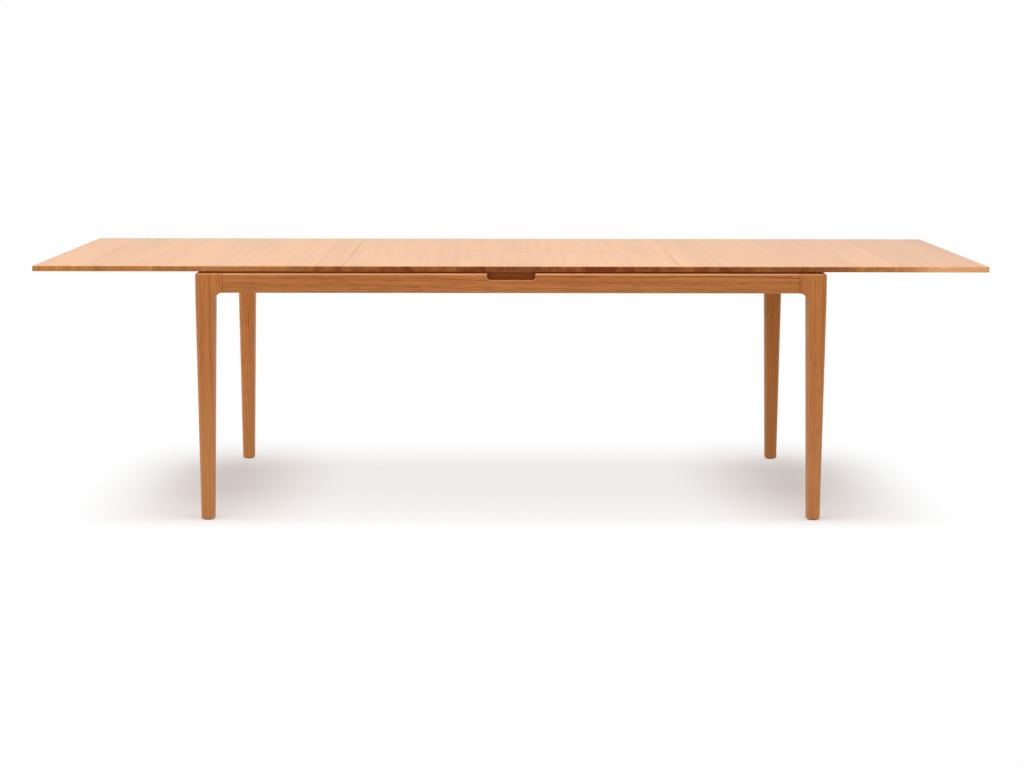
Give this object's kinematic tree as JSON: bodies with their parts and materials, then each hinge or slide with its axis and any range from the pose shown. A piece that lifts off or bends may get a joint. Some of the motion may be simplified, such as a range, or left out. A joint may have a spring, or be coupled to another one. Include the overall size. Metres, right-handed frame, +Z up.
{
  "type": "extending dining table",
  "caption": "Cherry extending dining table with tapered legs, sliding top halves joined by a gear, and a folding leaf on swing arms that stows inside the frame.",
  "frame": {"origin": "middle of the footprint, on the floor", "axes": "+X to the right along the length, +Y to the back, +Z up"},
  "size_m": [2.83, 1.036, 0.762],
  "materials": {
    "cherry_top": "satin lacquer, boards across the width",
    "cherry_leg": "satin lacquer, upright grain",
    "cherry_apron": "satin lacquer, grain along the length",
    "maple_inside": "oiled, unstained",
    "nylon_glide": "moulded",
    "felt_pad": "pressed felt",
    "rubber_stop": "moulded",
    "brass_hinge": "satin",
    "zinc_screw": "zinc plated",
    "gear_steel": "machined",
    "arm_steel": "satin"
  },
  "bodies": {
    "base": {"front_left_leg": "cherry_leg", "front_right_leg": "cherry_leg", "back_left_leg": "cherry_leg", "back_right_leg": "cherry_leg", "floor_glides": "nylon_glide", "front_apron": "cherry_apron", "back_apron": "cherry_apron", "left_apron": "cherry_apron", "right_apron": "cherry_apron", "front_rail": "cherry_apron", "back_rail": "cherry_apron", "rail_screws": "zinc_screw", "rail_pads": "felt_pad", "end_pads": "felt_pad", "runner_bumpers": "rubber_stop", "left_cross_rail": "maple_inside", "right_cross_rail": "maple_inside", "gear_bearer": "maple_inside", "bearer_screws": "zinc_screw", "front_rack_guide": "maple_inside", "back_rack_guide": "maple_inside", "guide_screws": "zinc_screw", "pinion_axle": "arm_steel", "left_bearing_plate": "arm_steel", "right_bearing_plate": "arm_steel", "plate_screws": "zinc_screw"},
    "left_top": {"left_top_panel": "cherry_top", "left_front_runner": "maple_inside", "left_back_runner": "maple_inside", "left_runner_screws": "zinc_screw", "left_rack": "gear_steel", "left_rack_block": "maple_inside", "left_rack_screws": "zinc_screw"},
    "right_top": {"right_top_panel": "cherry_top", "right_front_runner": "maple_inside", "right_back_runner": "maple_inside", "right_runner_screws": "zinc_screw", "right_rack": "gear_steel", "right_rack_block": "maple_inside", "right_rack_screws": "zinc_screw"},
    "pinion": {"drive_pinion": "gear_steel"},
    "front_arms": {"front_arm_shaft": "arm_steel", "front_left_arm": "arm_steel", "front_right_arm": "arm_steel"},
    "rear_arms": {"rear_arm_shaft": "arm_steel", "rear_left_arm": "arm_steel", "rear_right_arm": "arm_steel"},
    "leaf_back": {"leaf_back_panel": "cherry_top", "leaf_back_hinges": "brass_hinge", "left_leaf_bracket": "arm_steel", "right_leaf_bracket": "arm_steel", "leaf_bracket_screws": "zinc_screw", "leaf_pivot_pins": "arm_steel"},
    "leaf_front": {"leaf_front_panel": "cherry_top", "leaf_front_hinges": "brass_hinge"}
  },
  "joints": [
    {"name": "left_top_slide", "type": "slide", "parent": "base", "child": "left_top", "axis": [-1, 0, 0], "range_m": [0, 0.03]},
    {"name": "right_top_slide", "type": "slide", "parent": "base", "child": "right_top", "axis": [1, 0, 0], "range_m": [0, 0.03]},
    {"name": "pinion_turn", "type": "hinge", "parent": "base", "child": "pinion", "pos_m": [0, -0.29972, 0.7193], "axis": [0, 0, -1], "range_deg": [0, 57.3]},
    {"name": "front_arm_swing", "type": "hinge", "parent": "base", "child": "front_arms", "pos_m": [0, 0.13131, 0.68977], "axis": [1, 0, 0], "range_deg": [0, 108]},
    {"name": "rear_arm_swing", "type": "hinge", "parent": "base", "child": "rear_arms", "pos_m": [0, 0.33451, 0.68977], "axis": [1, 0, 0], "range_deg": [0, 108]},
    {"name": "leaf_level", "type": "hinge", "parent": "front_arms", "child": "leaf_back", "pos_m": [0, 0.1524, 0.735], "axis": [-1, 0, 0], "range_deg": [0, 108]},
    {"name": "leaf_fold", "type": "hinge", "parent": "leaf_back", "child": "leaf_front", "pos_m": [0, 0, 0.76225], "axis": [-1, 0, 0], "range_deg": [0, 180]}
  ],
  "couplings": [
    {"joint": "right_top_slide", "follows": "left_top_slide", "ratio": 1},
    {"joint": "pinion_turn", "follows": "left_top_slide", "rad_per_m": 33.333},
    {"joint": "front_arm_swing", "follows": "leaf_fold", "ratio": 0.6},
    {"joint": "rear_arm_swing", "follows": "leaf_fold", "ratio": 0.6},
    {"joint": "leaf_level", "follows": "leaf_fold", "ratio": 0.6}
  ]
}
